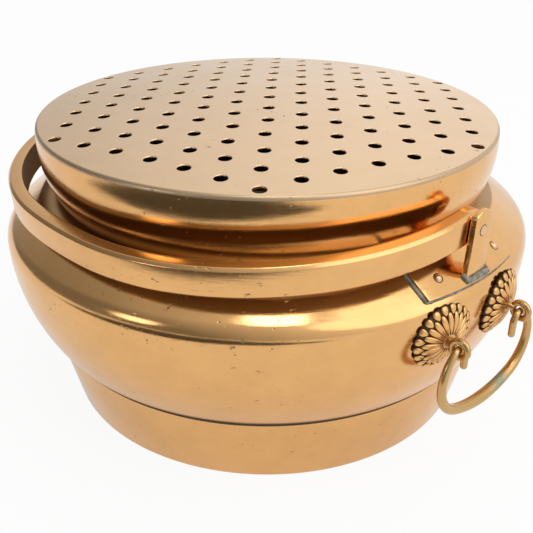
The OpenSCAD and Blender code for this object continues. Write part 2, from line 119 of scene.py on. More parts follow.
class WarmerBail(PropertyGroup):
    """Sizes of the bail, the lugs, their plates and rivets"""

    width: length("Strap width", "Width of the bail's strap", 12.2)
    thickness: length("Strap thickness", "Thickness of the bail's strap", 6.2)
    bend_r: length("Bend", "Outside radius of the two quarter bends", 103)
    shift: length("Bend offset", "Offset of each bend's centre", 8.6)
    mid_r: length("Middle curve", "Outside radius of the stretch between the bends", 200)
    bevel: length("Bevel", "Bevel along the outer edges", 1.2)
    end_r: length("End", "Radius of the rounded ends", 6.6)
    pivot_h: length("Pivot height", "Height of the pivot axis above the rim", 10)
    rest_gap: length("Rest gap", "Gap between the resting bail and the shoulder", 0.35)
    side_gap: length("Side gap", "Gap between the bail and the lug", 0.3)
    lug_t: length("Lug thickness", "Thickness of each lug", 2.8)
    lug_top_w: length("Lug top", "Width of a lug at its top", 10.5)
    lug_foot_w: length("Lug foot", "Width of a lug at its foot", 13.5)
    lug_rise: length("Lug rise", "Height of a lug above the pivot", 8)
    lug_top_r: length("Lug curve", "Radius of the curve over a lug's top", 7)
    plate_t: length("Plate", "Thickness of the plate under each lug", 1.6)
    plate_half_w: length("Plate half width", "Half width of the plate", 27)
    plate_top_r: length("Plate top", "Radius at the plate's upper edge", 102.5)
    plate_low: length("Plate low edge", "Height of the plate's lower edge above the widest line", 7)
    plate_corner: length("Plate corner", "Cut across the plate's lower corners", 4)
    pivot_d: length("Pivot rivet", "Diameter of the pivot rivet", 4)
    pivot_head_d: length("Pivot head", "Diameter of the pivot rivet's inner head", 7)
    pivot_head_t: length("Pivot head thickness", "Thickness of the pivot rivet's inner head", 1.2)
    rivet_d: length("Plate rivet", "Diameter of the plate rivets", 2.2)
    rivet_head_d: length("Rivet head", "Diameter of the plate rivets' heads", 3.6)
    rivet_dome: length("Rivet dome", "Height of the plate rivets' heads", 1.1)
    rivet_spacing: length("Rivet spacing", "Distance between the two rivets of a plate", 38)
    rivet_r: length("Rivet radius", "Radius at which the rivets go through", 109.6)
    rivet_shift: length("Rivet offset", "Offset of the pair of rivets along the plate", 1.9)
    bead_r: length("Solder bead", "Radius of the solder along the plate and the lug's foot", 1.1)


class WarmerDrops(PropertyGroup):
    """Sizes of the rosettes, the eyelets and the drop rings"""

    rosette_r: length("Rosette", "Radius of a rosette", 14)
    rosette_z: length("Rosette height", "Height of the rosettes' middles", 71.5)
    spacing: length("Spacing", "Distance between a side's two rosettes", 37.4)
    dome: length("Rosette dome", "Rise of a rosette's middle above its edge", 3.2)
    shift: length("Handle offset", "Sideways offset of a side's handle", -2.6)
    petals: IntProperty(name="Petals", description="Petals in a rosette", default=20, min=8)
    reach: length("Eyelet reach", "Distance of the eyelet's hole from the belly", 9.2)
    loop_t: length("Eyelet wire", "Thickness of the eyelet's loop", 2.6)
    shank_d: length("Shank", "Diameter of the eyelet's shank", 3)
    clinch_d: length("Clinch", "Diameter of the clinched end inside the bowl", 6)
    clinch_t: length("Clinch thickness", "Thickness of the clinched end", 1)
    slack: length("Ring slack", "Slack of the drop ring in its eyelets", 0.6)
    side_r: length("Ring side", "Radius of the drop ring's two sides", 16)
    spread: length("Ring spread", "Distance of each side curve's centre from the ring's middle", 12.4)
    low_r: length("Ring bottom", "Radius of the flatter curve along the ring's bottom", 48)
    ring_d: length("Ring thickness", "Thickness of the drop ring at the bottom", 4.8)
    tip_d: length("Tip thickness", "Thickness of the drop ring at its tips", 2.8)
    hook_r: length("Hook", "Radius of the turn over each eyelet", 4.2)
    tip_l: length("Tip length", "Length of the straight tip behind each eyelet", 6)


class WarmerFinish(PropertyGroup):
    """Colours and polish"""

    brass: tint("Brass", "Colour of the polished brass", (0.84, 0.475, 0.19))
    tarnish: tint("Tarnish", "Colour of the duller brass", (0.55, 0.30, 0.11))
    lid_brass: tint("Lid brass", "Colour of the lid's top", (0.87, 0.62, 0.39))
    lid_tarnish: tint("Lid tarnish", "Colour of the lid's duller patches", (0.72, 0.48, 0.28))
    rod_brass: tint("Rod brass", "Colour of the darker drop rings and eyelets", (0.60, 0.39, 0.16))
    patina: tint("Patina", "Colour in the hollows of cast pieces", (0.10, 0.066, 0.032))
    rivet: tint("Rivet", "Colour of the redder rivets", (0.80, 0.52, 0.30))
    verdigris: tint("Verdigris", "Colour of the green spot on the drop ring", (0.36, 0.42, 0.30))
    verdigris_spot: FloatVectorProperty(name="Verdigris place", description="Place of the green spot", size=3,
                                        default=(0.1258, 0.0083, 0.0405), subtype="TRANSLATION", unit="LENGTH")
    # Colour of the painted shade in recesses, under the lid and round the foot, and of the soot inside the bowl.
    shade_and_grime: tint("Grime", "Colour of soot and old dirt", (0.085, 0.062, 0.036))
    # Painted shade: colour of the bail's inner face and underside and of the collar under the lid, where shadow falls.
    inner_shade: tint("Dull brass", "Colour of the bail's unpolished inner side", (0.18, 0.145, 0.105))
    solder: tint("Solder", "Colour of old solder", (0.42, 0.40, 0.33))
    polish: share("Roughness", "Roughness of the polished brass", 0.12)
    floor: tint("Floor", "Colour of the floor", (0.95, 0.95, 0.95))


def body_of_warmer(context):
    """Places that the pieces share, worked out from the settings."""
    body, lid = context.scene.warmer_body, context.scene.warmer_lid
    bail, drops = context.scene.warmer_bail, context.scene.warmer_drops
    w = SimpleNamespace(body=body, lid=lid, bail=bail, drops=drops)
    w.belly_cx = body.belly_r - body.belly_arc
    w.corner_z = body.foot_h + body.corner_r
    w.corner_dx = math.sqrt((body.belly_arc - body.corner_r) ** 2 - (body.belly_z - w.corner_z) ** 2)
    w.corner_x = w.belly_cx + w.corner_dx
    w.corner_a = math.atan2(w.corner_z - body.belly_z, w.corner_dx)
    w.turn_x = body.belly_r - body.shoulder_arc
    w.turn_a = math.pi / 2 - body.shoulder_slope
    w.lid_cx = lid.lid_r - lid.arc
    w.lid_cz = body.rim_z + lid.bulge
    w.lid_top = body.rim_z + lid.height
    w.dome_r = (lid.lid_r ** 2 + lid.dome ** 2) / (2 * lid.dome)
    w.skirt_foot = w.lid_cx + math.sqrt((lid.arc - lid.wall) ** 2 - lid.bulge ** 2)
    w.collar_r = w.skirt_foot - lid.slack
    w.pivot_z = body.rim_z + bail.pivot_h
    w.bail_x = bail.bend_r + bail.shift
    w.mid_cy = math.sqrt((bail.mid_r - bail.bend_r) ** 2 - bail.shift ** 2) - bail.shift
    w.mid_half = math.asin(bail.shift / (bail.mid_r - bail.bend_r))
    reach = bail.mid_r - w.mid_cy - bail.thickness
    slope = math.tan(body.shoulder_slope)
    a = reach * slope - bail.width / 2
    b = reach + bail.width / 2 * slope
    c = bail.rest_gap / math.cos(body.shoulder_slope) + shoulder_z(w, 0) - w.pivot_z
    w.droop = math.acos(c / math.hypot(a, b)) - math.atan2(b, a)
    w.lug_x = w.bail_x + bail.side_gap
    w.rivet_turn = math.asin(bail.rivet_spacing / 2 / bail.rivet_r)
    w.rivet_offset = math.asin(bail.rivet_shift / bail.rivet_r)
    w.rosette_rad = w.belly_cx + math.sqrt(body.belly_arc ** 2 - (body.belly_z - drops.rosette_z) ** 2)
    w.rosette_turn = math.asin(drops.spacing / 2 / w.rosette_rad)
    w.handle_turn = math.asin(drops.shift / w.rosette_rad)
    w.rosette_tilt = math.asin((body.belly_z - drops.rosette_z) / body.belly_arc)
    eye_rad = w.rosette_rad + drops.reach * math.cos(w.rosette_tilt)
    w.eye = Vector((eye_rad * math.cos(w.rosette_turn), eye_rad * math.sin(w.rosette_turn),
                    drops.rosette_z - drops.reach * math.sin(w.rosette_tilt)))
    w.loop_r = drops.tip_d / 2 + drops.slack + drops.loop_t / 2
    return w


def shoulder_z(w, r):
    """Height of the shoulder's slope at a radius."""
    start_x = w.turn_x + w.body.shoulder_arc * math.sin(w.body.shoulder_slope)
    start_z = w.body.belly_z + w.body.shoulder_arc * math.cos(w.body.shoulder_slope)
    return start_z + (start_x - r) * math.tan(w.body.shoulder_slope)


def dome_z(w, r):
    """Height of the lid's top at a radius."""
    return w.lid_top - w.dome_r + math.sqrt(w.dome_r ** 2 - r * r)


def arc(cx, cz, r, start, end, steps):
    """Points along an arc, angles in radians."""
    turn = (end - start) / steps
    return [(cx + r * math.cos(start + turn * i), cz + r * math.sin(start + turn * i)) for i in range(steps + 1)]


def rounded(corners, steps=5):
    """Closed outline with its corners rounded; each corner is (x, z, radius)."""
    points = []
    for i, (x, z, r) in enumerate(corners):
        here = Vector((x, z))
        if r == 0:
            points.append((x, z))
            continue
        before = (Vector(corners[i - 1][:2]) - here).normalized()
        after = (Vector(corners[(i + 1) % len(corners)][:2]) - here).normalized()
        half = before.angle(after) / 2
        centre = here + (before + after).normalized() * (r / math.sin(half))
        first = here + before * (r / math.tan(half)) - centre
        last = here + after * (r / math.tan(half)) - centre
        bend = first.angle_signed(last)
        for k in range(steps + 1):
            spoke = first.copy()
            spoke.rotate(Matrix.Rotation(-bend * k / steps, 2))
            points.append(tuple(centre + spoke))
    return points


def spaced(points, step):
    """Points at about equal steps along a broken line."""
    path = [points[0]]
    for point in points[1:]:
        start = path[-1]
        count = max(1, round((point - start).length / step))
        path += [start.lerp(point, (k + 1) / count) for k in range(count)]
    return path


def lathe(points, steps, closed=True, shade_and_grime=None):
    """Spins an outline of (radius, height) points round the upright axis; the last argument gives each point's
    darkening, 0 to 1: painted shade, and soot inside the bowl.
    """
    bm = bmesh.new()
    layer = bm.verts.layers.float.new("shade_and_grime")
    verts = [bm.verts.new((x, 0, z)) for x, z in points]
    for vert, dirt_and_shade in zip(verts, shade_and_grime or ()):
        vert[layer] = dirt_and_shade
    edges = [bm.edges.new(pair) for pair in zip(verts, verts[1:])]
    if closed:
        edges.append(bm.edges.new((verts[-1], verts[0])))
    bmesh.ops.spin(bm, geom=verts + edges, cent=(0, 0, 0), axis=(0, 0, 1), angle=math.tau, steps=steps,
                   use_merge=True)
    bmesh.ops.remove_doubles(bm, verts=bm.verts, dist=1e-6)
    bmesh.ops.recalc_face_normals(bm, faces=bm.faces)
    return bm


def sweep(path, segments=20):
    """Round rod along a path of (point, radius), with closed ends."""
    bm = bmesh.new()
    turn = Vector((0, 0, 1)).rotation_difference(path[1][0] - path[0][0])
    loop = last = None
    for i, (point, radius) in enumerate(path):
        along = path[min(i + 1, len(path) - 1)][0] - path[max(i - 1, 0)][0]
        turn = (turn @ Vector((0, 0, 1))).rotation_difference(along) @ turn
        place = Matrix.Translation(point) @ turn.to_matrix().to_4x4() @ Matrix.Diagonal((radius, radius, 1, 1))
        if loop is None:
            verts = bmesh.ops.create_circle(bm, segments=segments, radius=1, cap_ends=True, matrix=place)["verts"]
            loop = list({e for v in verts for e in v.link_edges})
        else:
            made = bmesh.ops.extrude_edge_only(bm, edges=loop)["geom"]
            verts = [g for g in made if isinstance(g, bmesh.types.BMVert)]
            bmesh.ops.transform(bm, matrix=place @ last.inverted(), verts=verts)
            loop = [g for g in made if isinstance(g, bmesh.types.BMEdge) and all(v in verts for v in g.verts)]
        last = place
    bmesh.ops.edgeloop_fill(bm, edges=loop)
    bmesh.ops.recalc_face_normals(bm, faces=bm.faces)
    return bm


def soften(bm, width, segments=3, angle=40):
    """Bevels the edges that turn by more than an angle."""
    sharp = [e for e in bm.edges if len(e.link_faces) == 2 and e.calc_face_angle() > math.radians(angle)]
    bmesh.ops.bevel(bm, geom=sharp, offset=width, offset_type="OFFSET", affect="EDGES", segments=segments,
                    profile=0.5, material=-1, clamp_overlap=True)


def join(bm, other, matrix=None):
    """Adds a copy of another bmesh, moved by a matrix."""
    mesh = bpy.data.meshes.new("part")
    other.to_mesh(mesh)
    if matrix is not None:
        mesh.transform(matrix)
        if matrix.determinant() < 0:
            mesh.flip_normals()
    bm.from_mesh(mesh)
    bpy.data.meshes.remove(mesh)


def make_piece(context, bm, name, material, body, nodes, sharp=50):
    """Turns a bmesh into a piece that stands for its CAD nodes and rides on a body."""
    for face in bm.faces:
        face.smooth = True
    for edge in bm.edges:
        edge.smooth = len(edge.link_faces) == 2 and edge.calc_face_angle() < math.radians(sharp)
    mesh = bpy.data.meshes.new(name)
    bm.to_mesh(mesh)
    bm.free()
    mesh.materials.append(material)
    obj = bpy.data.objects.new(name, mesh)
    context.collection.objects.link(obj)
    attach(obj, body)
    if nodes:
        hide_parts(*nodes)
    return obj


def on_side(side):
    """Matrix that takes a right-hand piece to its side."""
    return Matrix.Rotation(0 if side == "right" else math.pi, 4, "Z")


def on_rosette(w, turn):
    """Matrix that puts a rosette's own +Z out of the belly."""
    return (Matrix.Rotation(turn + w.handle_turn, 4, "Z") @ Matrix.Translation((w.rosette_rad, 0, w.drops.rosette_z))
            @ Matrix.Rotation(math.pi / 2 + w.rosette_tilt, 4, "Y"))


def node(tree, kind, **inputs):
    """New node with some of its inputs set."""
    new = tree.nodes.new(kind)
    for key, value in inputs.items():
        new.inputs[key.replace("_", " ")].default_value = value
    return new


def noise(tree, coord, scale, detail=3.0, roughness=0.55, stretch=None):
    """Noise on Object coordinates, stretched along the axes if asked."""
    tex = node(tree, "ShaderNodeTexNoise", Scale=scale, Detail=detail, Roughness=roughness)
    if stretch:
        mapping = node(tree, "ShaderNodeMapping", Scale=stretch)
        tree.links.new(coord, mapping.inputs["Vector"])
        coord = mapping.outputs["Vector"]
    tree.links.new(coord, tex.inputs["Vector"])
    return tex.outputs["Fac"]


def ramp(tree, value, low, high, start=0.0, end=1.0):
    """Maps a value between two limits to a new span, clamped."""
    new = node(tree, "ShaderNodeMapRange", From_Min=low, From_Max=high, To_Min=start, To_Max=end)
    tree.links.new(value, new.inputs["Value"])
    return new.outputs["Result"]


def math_node(tree, kind, a, b):
    """Math node on two values or sockets."""
    new = tree.nodes.new("ShaderNodeMath")
    new.operation = kind
    for slot, value in zip(new.inputs, (a, b)):
        if hasattr(value, "links"):
            tree.links.new(value, slot)
        else:
            slot.default_value = value
    return new.outputs["Value"]


def blend_colour(tree, fac, a, b):
    """Mixes two colours or colour sockets."""
    new = tree.nodes.new("ShaderNodeMix")
    new.data_type = "RGBA"
    tree.links.new(fac, new.inputs["Factor"])
    for slot, value in ((new.inputs["A"], a), (new.inputs["B"], b)):
        if hasattr(value, "links"):
            tree.links.new(value, slot)
        else:
            slot.default_value = (*value, 1)
    return new.outputs["Result"]


def bump(tree, height, strength, distance, under=None):
    """Bump from a height, laid over another bump if given."""
    new = node(tree, "ShaderNodeBump", Strength=strength, Distance=distance)
    tree.links.new(height, new.inputs["Height"])
    if under is not None:
        tree.links.new(under, new.inputs["Normal"])
    return new.outputs["Normal"]


def brass_finish(name, finish, colour, tarnish, rough, wave=1.0, scratch=1.0, patina=False, pits=0.6,
                 verdigris=None, inner_shade=None):
    """Polished brass with soft waves, fine lines, nicks and duller patches, and painted shade (with soot inside the
    bowl) where a piece is marked with it.
    """
    if name in bpy.data.materials:
        return bpy.data.materials[name]
    mat = bpy.data.materials.new(name)
    mat.use_nodes = True
    tree = mat.node_tree
    shader = tree.nodes["Principled BSDF"]
    shader.inputs["Metallic"].default_value = 1.0
    coord = tree.nodes.new("ShaderNodeTexCoord").outputs["Object"]
    patch = ramp(tree, noise(tree, coord, 14, 4, 0.6), 0.45, 0.75)
    fine = ramp(tree, noise(tree, coord, 420, 4, 0.7), 0.4, 0.7)
    lines = ramp(tree, noise(tree, coord, 60, 6, 0.75, (1, 1, 20)), 0.5, 0.66)
    surface = blend_colour(tree, math_node(tree, "MULTIPLY", patch, 0.35), colour, tarnish)
    mottle = ramp(tree, noise(tree, coord, 90, 5, 0.65), 0.4, 0.7, 0, 0.16)
    surface = blend_colour(tree, mottle, surface, tarnish)
    nick = ramp(tree, noise(tree, coord, 340, 2, 0.5, (1, 1, 2)), 0.68, 0.74)
    pit = math_node(tree, "MULTIPLY", nick, ramp(tree, noise(tree, coord, 22, 3, 0.6), 0.5, 0.6, 0, pits))
    surface = blend_colour(tree, pit, surface, tuple(c * 0.3 for c in tarnish))
    if patina:
        hollow = ramp(tree, attribute(tree, "relief"), 0.08, 0.38, 1, 0)
        surface = blend_colour(tree, hollow, surface, finish.patina)
        pit = math_node(tree, "MAXIMUM", pit, math_node(tree, "MULTIPLY", hollow, 0.8))
    if verdigris:
        spot = tree.nodes.new("ShaderNodeVectorMath")
        spot.operation = "DISTANCE"
        spot.inputs[1].default_value = verdigris
        tree.links.new(coord, spot.inputs[0])
        ragged = math_node(tree, "ADD", spot.outputs["Value"], ramp(tree, fine, 0, 1, -0.002, 0.002))
        green = ramp(tree, ragged, 0.0025, 0.006, 0.75, 0)
        surface = blend_colour(tree, green, surface, finish.verdigris)
        pit = math_node(tree, "MAXIMUM", pit, green)
    # Painted shade, with soot inside the bowl, from each piece's darkening attribute, mixed into colour, roughness and
    # bump.
    dirt_and_shade = attribute(tree, "shade_and_grime")
    tree.links.new(blend_colour(tree, dirt_and_shade, surface, inner_shade or finish.shade_and_grime), shader.inputs["Base Color"])
    pit = math_node(tree, "MAXIMUM", pit, dirt_and_shade)
    gloss = math_node(tree, "ADD", ramp(tree, patch, 0, 1, rough, rough + 0.07), math_node(tree, "MULTIPLY", fine, 0.03))
    gloss = math_node(tree, "ADD", gloss, math_node(tree, "MULTIPLY", lines, 0.03))
    gloss = math_node(tree, "ADD", gloss, math_node(tree, "MULTIPLY", pit, 0.45))
    tree.links.new(gloss, shader.inputs["Roughness"])
    waves = bump(tree, noise(tree, coord, 26, 2, 0.5), 0.06 * wave, 0.004)
    lines_bump = bump(tree, lines, 0.03 * scratch, 0.0005, waves)
    tree.links.new(bump(tree, pit, 0.25, -0.0005, lines_bump), shader.inputs["Normal"])
    return mat


def attribute(tree, name):
    """Value of a piece's own named attribute."""
    new = tree.nodes.new("ShaderNodeAttribute")
    new.attribute_name = name
    return new.outputs["Fac"]


def solder_finish(finish):
    """Dull grey solder with a grainy skin."""
    if "old_solder" in bpy.data.materials:
        return bpy.data.materials["old_solder"]
    mat = bpy.data.materials.new("old_solder")
    mat.use_nodes = True
    tree = mat.node_tree
    shader = tree.nodes["Principled BSDF"]
    shader.inputs["Metallic"].default_value = 0.7
    coord = tree.nodes.new("ShaderNodeTexCoord").outputs["Object"]
    grain = noise(tree, coord, 420, 4, 0.7)
    dark = tuple(c * 0.35 for c in finish.solder)
    tree.links.new(blend_colour(tree, ramp(tree, grain, 0.35, 0.65), dark, finish.solder),
                   shader.inputs["Base Color"])
    tree.links.new(ramp(tree, grain, 0.3, 0.7, 0.4, 0.7), shader.inputs["Roughness"])
    tree.links.new(bump(tree, grain, 0.5, 0.0005), shader.inputs["Normal"])
    return mat


def finishes(context):
    """The warmer's metal finishes."""
    f = context.scene.warmer_finish
    return SimpleNamespace(
        bowl=brass_finish("polished_brass", f, f.brass, f.tarnish, f.polish),
        bail=brass_finish("handled_brass", f, f.brass, f.tarnish, f.polish + 0.03, 0.5, 1.2, inner_shade=f.inner_shade),
        lid=brass_finish("lid_top_brass", f, f.lid_brass, f.lid_tarnish, f.polish + 0.06, 0.5, 0.5),
        cast=brass_finish("cast_brass", f, f.brass, f.tarnish, f.polish + 0.12, 0.2, 0.4, True),
        rod=brass_finish("worn_rod_brass", f, f.rod_brass, f.tarnish, f.polish + 0.10, 0.4, 0.5,
                         verdigris=f.verdigris_spot),
        rivet=brass_finish("rivet_copper", f, f.rivet, f.tarnish, f.polish + 0.10, 0.4, 0.5),
        solder=solder_finish(f),
    )


class WARMER_OT_bowl(Operator):
    """Turns the bowl and the mouth collar"""

    bl_idname = "warmer.bowl"
    bl_label = "Bowl"

    def execute(self, context):
        w = body_of_warmer(context)
        b, mat = w.body, finishes(context)
        half = math.pi / 2
        inset = b.wall

        def outline(i):
            points = arc(w.corner_x, w.corner_z, b.corner_r - i, -half, w.corner_a, 8)
            points += arc(w.belly_cx, b.belly_z, b.belly_arc - i, w.corner_a, 0, 30)[1:]
            points += arc(w.turn_x, b.belly_z, b.shoulder_arc - i, 0, w.turn_a, 12)[1:]
            return points

        edge = w.turn_x + b.shoulder_arc / math.sin(b.shoulder_slope) - (b.rim_z - b.belly_z) / math.tan(b.shoulder_slope)
        start_x, start_z = outline(0)[-1]
        crest = (b.rim_z - start_z) / math.tan(b.shoulder_slope)
        flat = rounded([(start_x, start_z, 0), (start_x - crest, b.rim_z, 0.012), (w.collar_r, b.rim_z, 0.0006),
                        (w.collar_r, b.rim_z - inset, 0.0004), (edge - 0.004, b.rim_z - inset, 0)], 8)
        outside = [(0, b.foot_h)] + outline(0) + flat[1:]
        inside = outline(inset)[::-1] + [(0, b.foot_h + inset)]
        # Painted shadow on the bowl's lowest band just above the foot ring, painted shade on the rim under the lid
        # where dirt also gathers, and soot with shade over the inside.
        groove = b.foot_h + 0.0026
        soot_and_shade = [1 if z < groove else 0.5 if z > b.rim_z - 0.0015 else 0 for x, z in outside] + [1] * len(inside)
        bm = lathe(outside + inside, b.turns, False, soot_and_shade)
        make_piece(context, bm, "bowl_shell", mat.bowl, "bowl", ["bowl"])
        lid = w.lid
        collar = rounded([(w.collar_r - lid.collar_t, b.rim_z - lid.collar_depth, 0.0003),
                          (w.collar_r, b.rim_z - lid.collar_depth, 0.0003),
                          (w.collar_r, b.rim_z + lid.collar_h, 0.0005),
                          (w.collar_r - lid.collar_t, b.rim_z + lid.collar_h, 0.0005)])
        # Painted shade over the whole collar, which sits in the lid's shadow.
        bm = lathe(collar, b.turns, True, [0.6] * len(collar))
        make_piece(context, bm, "collar", mat.bail, "bowl", ["mouth_collar"])
        return {"FINISHED"}


class WARMER_OT_foot(Operator):
    """Turns the foot ring with its rounded lip"""

    bl_idname = "warmer.foot"
    bl_label = "Foot ring"

    def execute(self, context):
        w = body_of_warmer(context)
        b, mat = w.body, finishes(context)
        lean = math.tan(b.foot_lean)
        top = b.foot_r + b.foot_h * lean
        under = b.foot_h - b.foot_wall
        ring = rounded([(b.foot_r - b.foot_wall, 0, 0.0004), (b.foot_r, 0, 0.0008), (top, b.foot_h, 0.0009),
                        (top - b.foot_ledge, b.foot_h, 0.0003), (top - b.foot_ledge, under, 0.0003),
                        (b.foot_r - b.foot_wall + under * lean, under, 0.001)])
        # Painted shade on the foot ring's ledge under the bowl.
        soot_and_shade = [1 if z > b.foot_h - 0.0003 and x < top - 0.0008 else 0 for x, z in ring]
        make_piece(context, lathe(ring, b.turns, True, soot_and_shade), "foot_band", mat.bowl, "bowl", ["foot_ring"])
        # A dark ring set in the crevice between the bowl and the foot ring: painted shade along the joint.
        crevice_shade = lathe(arc(w.corner_x + 0.0014, b.foot_h + 0.0002, 0.001, 0, math.tau, 10)[:-1], b.turns, True, [1] * 10)
        make_piece(context, crevice_shade, "foot_crevice_shade", mat.bowl, "bowl", None)
        return {"FINISHED"}


class WARMER_OT_lid_top(Operator):
    """Cuts the vent holes in the lid's domed top"""

    bl_idname = "warmer.lid_top"
    bl_label = "Lid top"

    def execute(self, context):
        w = body_of_warmer(context)
        lid, mat = w.lid, finishes(context)
        rng = random.Random(7)
        edge = w.lid_cx + math.sqrt(lid.arc ** 2 - (dome_z(w, lid.lid_r) - lid.plate_t - w.lid_cz) ** 2)
        bm = bmesh.new()
        outer = edge - 0.0015
        rim = bmesh.ops.create_circle(bm, segments=w.body.turns, radius=outer)["verts"]
        holes = []
        turn = Matrix.Rotation(lid.hole_turn, 2)
        rows = lid.hole_rows
        for i in range(-rows, rows + 1):
            for j in range(-rows, rows + 1):
                spot = Vector((i + j / 2, j * math.sqrt(3) / 2)) * lid.hole_pitch
                if spot.length > (rows + 0.01) * lid.hole_pitch:
                    continue
                spot = turn @ spot + Vector((lid.hole_shift_x, lid.hole_shift_y))
                spot += Vector((rng.uniform(-1, 1), rng.uniform(-1, 1))) * lid.hole_stray
                reach = outer - self.flat_r(lid) - 0.0001
                spot *= min(1, reach / max(spot.length, 0.001))
                place = Matrix.Translation((*spot, 0))
                ring = bmesh.ops.create_circle(bm, segments=24, radius=self.flat_r(lid), matrix=place)
                holes.append((Vector((*spot, 0)), ring["verts"]))
        loops = [list({e for v in verts for e in v.link_edges}) for verts in [rim] + [h[1] for h in holes]]
        bmesh.ops.triangle_fill(bm, use_beauty=True, edges=[e for loop in loops for e in loop])
        for face in bm.faces:
            if face.normal.z < 0:
                face.normal_flip()
        under = bmesh.ops.duplicate(bm, geom=bm.verts[:] + bm.edges[:] + bm.faces[:])["geom"]
        bmesh.ops.translate(bm, vec=(0, 0, -lid.plate_t), verts=[g for g in under if isinstance(g, bmesh.types.BMVert)])
        bmesh.ops.reverse_faces(bm, faces=[g for g in under if isinstance(g, bmesh.types.BMFace)])
        lip, wall = lid.hole_lip, lid.hole_d / 2
        flat = self.flat_r(lid)
        steps = [(wall + lip, 0), (wall + lip * 0.3, -lip * 0.3), (wall, -lip), (wall, lip - lid.plate_t),
                 (wall + lip, -lid.plate_t), (flat, -lid.plate_t)]
        for (centre, _), loop in zip(holes, loops[1:]):
            self.turn_down(bm, loop, centre, flat, steps)
        fillet = [(edge - lid.edge_r + lid.edge_r * c, lid.plate_t * (s - 1)) for c, s in arc(0, 0, 1, math.pi / 2, 0, 8)]
        steps = fillet + [(edge - 0.0006, -lid.plate_t), (outer, -lid.plate_t)]
        self.turn_down(bm, loops[0], Vector(), outer, steps)
        bmesh.ops.remove_doubles(bm, verts=bm.verts, dist=2e-6)
        # Painted shade under the plate and down the vent holes' walls, darker towards their bottom, and on the rounded
        # outer edge, where it dims the highlight.
        layer = bm.verts.layers.float.new("shade_and_grime")
        for vert in bm.verts:
            reach = vert.co.xy.length
            edge_shade = 0.35 if edge - lid.edge_r < reach and vert.co.z < -0.00005 else 0
            vert[layer] = 1 if vert.co.z < -lid.plate_t * 0.9 and reach < edge - 0.0003 else edge_shade
            vert.co.z += dome_z(w, vert.co.xy.length)
        bmesh.ops.recalc_face_normals(bm, faces=bm.faces)
        make_piece(context, bm, "lid_top", mat.lid, "lid", ["lid_plate"])
        return {"FINISHED"}

    @staticmethod
    def flat_r(lid):
        """Radius of the narrow flat ring round each hole."""
        return lid.hole_d / 2 + lid.hole_lip + 0.0001

    @staticmethod
    def turn_down(bm, loop, centre, radius, steps):
        """Draws a ring of edges down in steps of (radius, height)."""
        height = 0
        for next_radius, next_height in steps:
            made = bmesh.ops.extrude_edge_only(bm, edges=loop)["geom"]
            verts = [g for g in made if isinstance(g, bmesh.types.BMVert)]
            size = next_radius / radius
            bmesh.ops.scale(bm, vec=(size, size, 1), space=Matrix.Translation(-centre), verts=verts)
            bmesh.ops.translate(bm, vec=(0, 0, next_height - height), verts=verts)
            loop = [g for g in made if isinstance(g, bmesh.types.BMEdge)]
            loop = [e for e in loop if all(v in verts for v in e.verts)]
            radius, height = next_radius, next_height


class WARMER_OT_lid_side(Operator):
    """Turns the lid's bulging side"""

    bl_idname = "warmer.lid_side"
    bl_label = "Lid side"

    def execute(self, context):
        w = body_of_warmer(context)
        lid, mat = w.lid, finishes(context)
        foot_a = -math.asin(lid.bulge / lid.arc)
        top_z = dome_z(w, lid.lid_r) - lid.plate_t
        top_a = math.asin((top_z - w.lid_cz) / lid.arc)
        in_foot_a = -math.asin(lid.bulge / (lid.arc - lid.wall))
        in_top_a = math.asin((top_z - lid.wall - w.lid_cz) / (lid.arc - lid.wall))
        ledge = lid.lid_r - lid.ledge
        outside = arc(w.lid_cx, w.lid_cz, lid.arc, foot_a, top_a, 28)
        near = outside[-1][0] - 0.0008
        outside.append((near, dome_z(w, near) - lid.plate_t))
        inside = [(ledge, dome_z(w, ledge) - lid.plate_t), (ledge, dome_z(w, ledge) - lid.plate_t - lid.wall)]
        inside += arc(w.lid_cx, w.lid_cz, lid.arc - lid.wall, in_top_a, in_foot_a, 28)
        # Painted shade over the inside of the lid's side.
        bm = lathe(outside + inside, w.body.turns, True, [0] * (len(outside) - 1) + [1] * (len(inside) + 1))
        make_piece(context, bm, "lid_side", mat.bowl, "lid", ["lid_skirt"])
        return {"FINISHED"}


